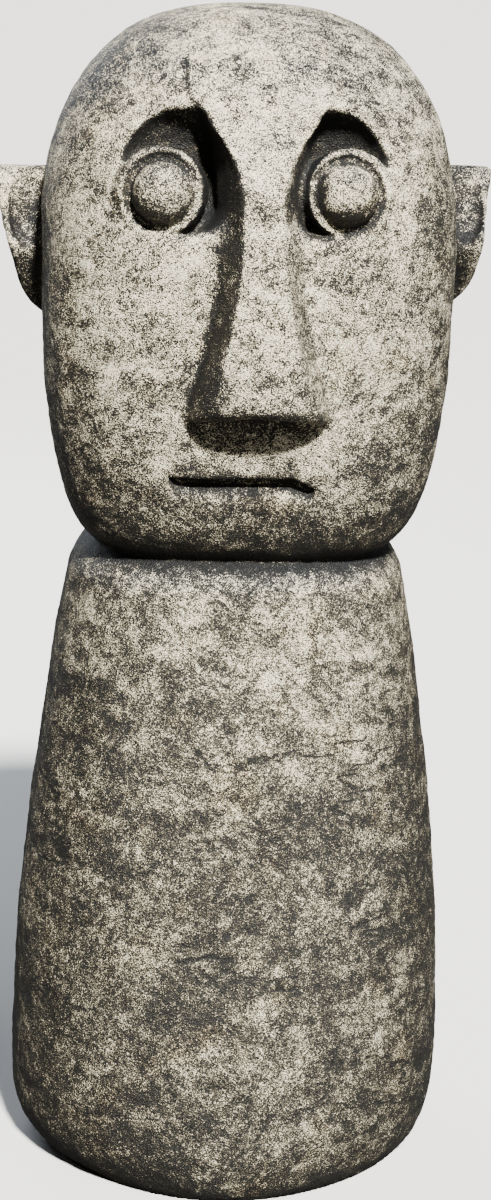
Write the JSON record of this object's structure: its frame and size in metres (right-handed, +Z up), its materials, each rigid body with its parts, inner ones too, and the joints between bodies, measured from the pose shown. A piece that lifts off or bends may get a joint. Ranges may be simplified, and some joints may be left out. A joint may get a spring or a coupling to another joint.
{
  "type": "stone garden figure",
  "caption": "One-piece cast stone figure: a bald head with knob eyes, a long flaring nose, a slit mouth and lug ears on a plain tapering armless trunk.",
  "frame": {"origin": "middle of the flat underside that the figure stands on", "axes": "+Z up through the crown of the head, -Y towards the viewer of the face, +X to the viewer's right"},
  "size_m": [0.4205, 0.3806, 0.9999],
  "materials": {
    "weathered_stone": "matte"
  },
  "bodies": {
    "root": {"stone_figure": "weathered_stone"}
  },
  "joints": []
}
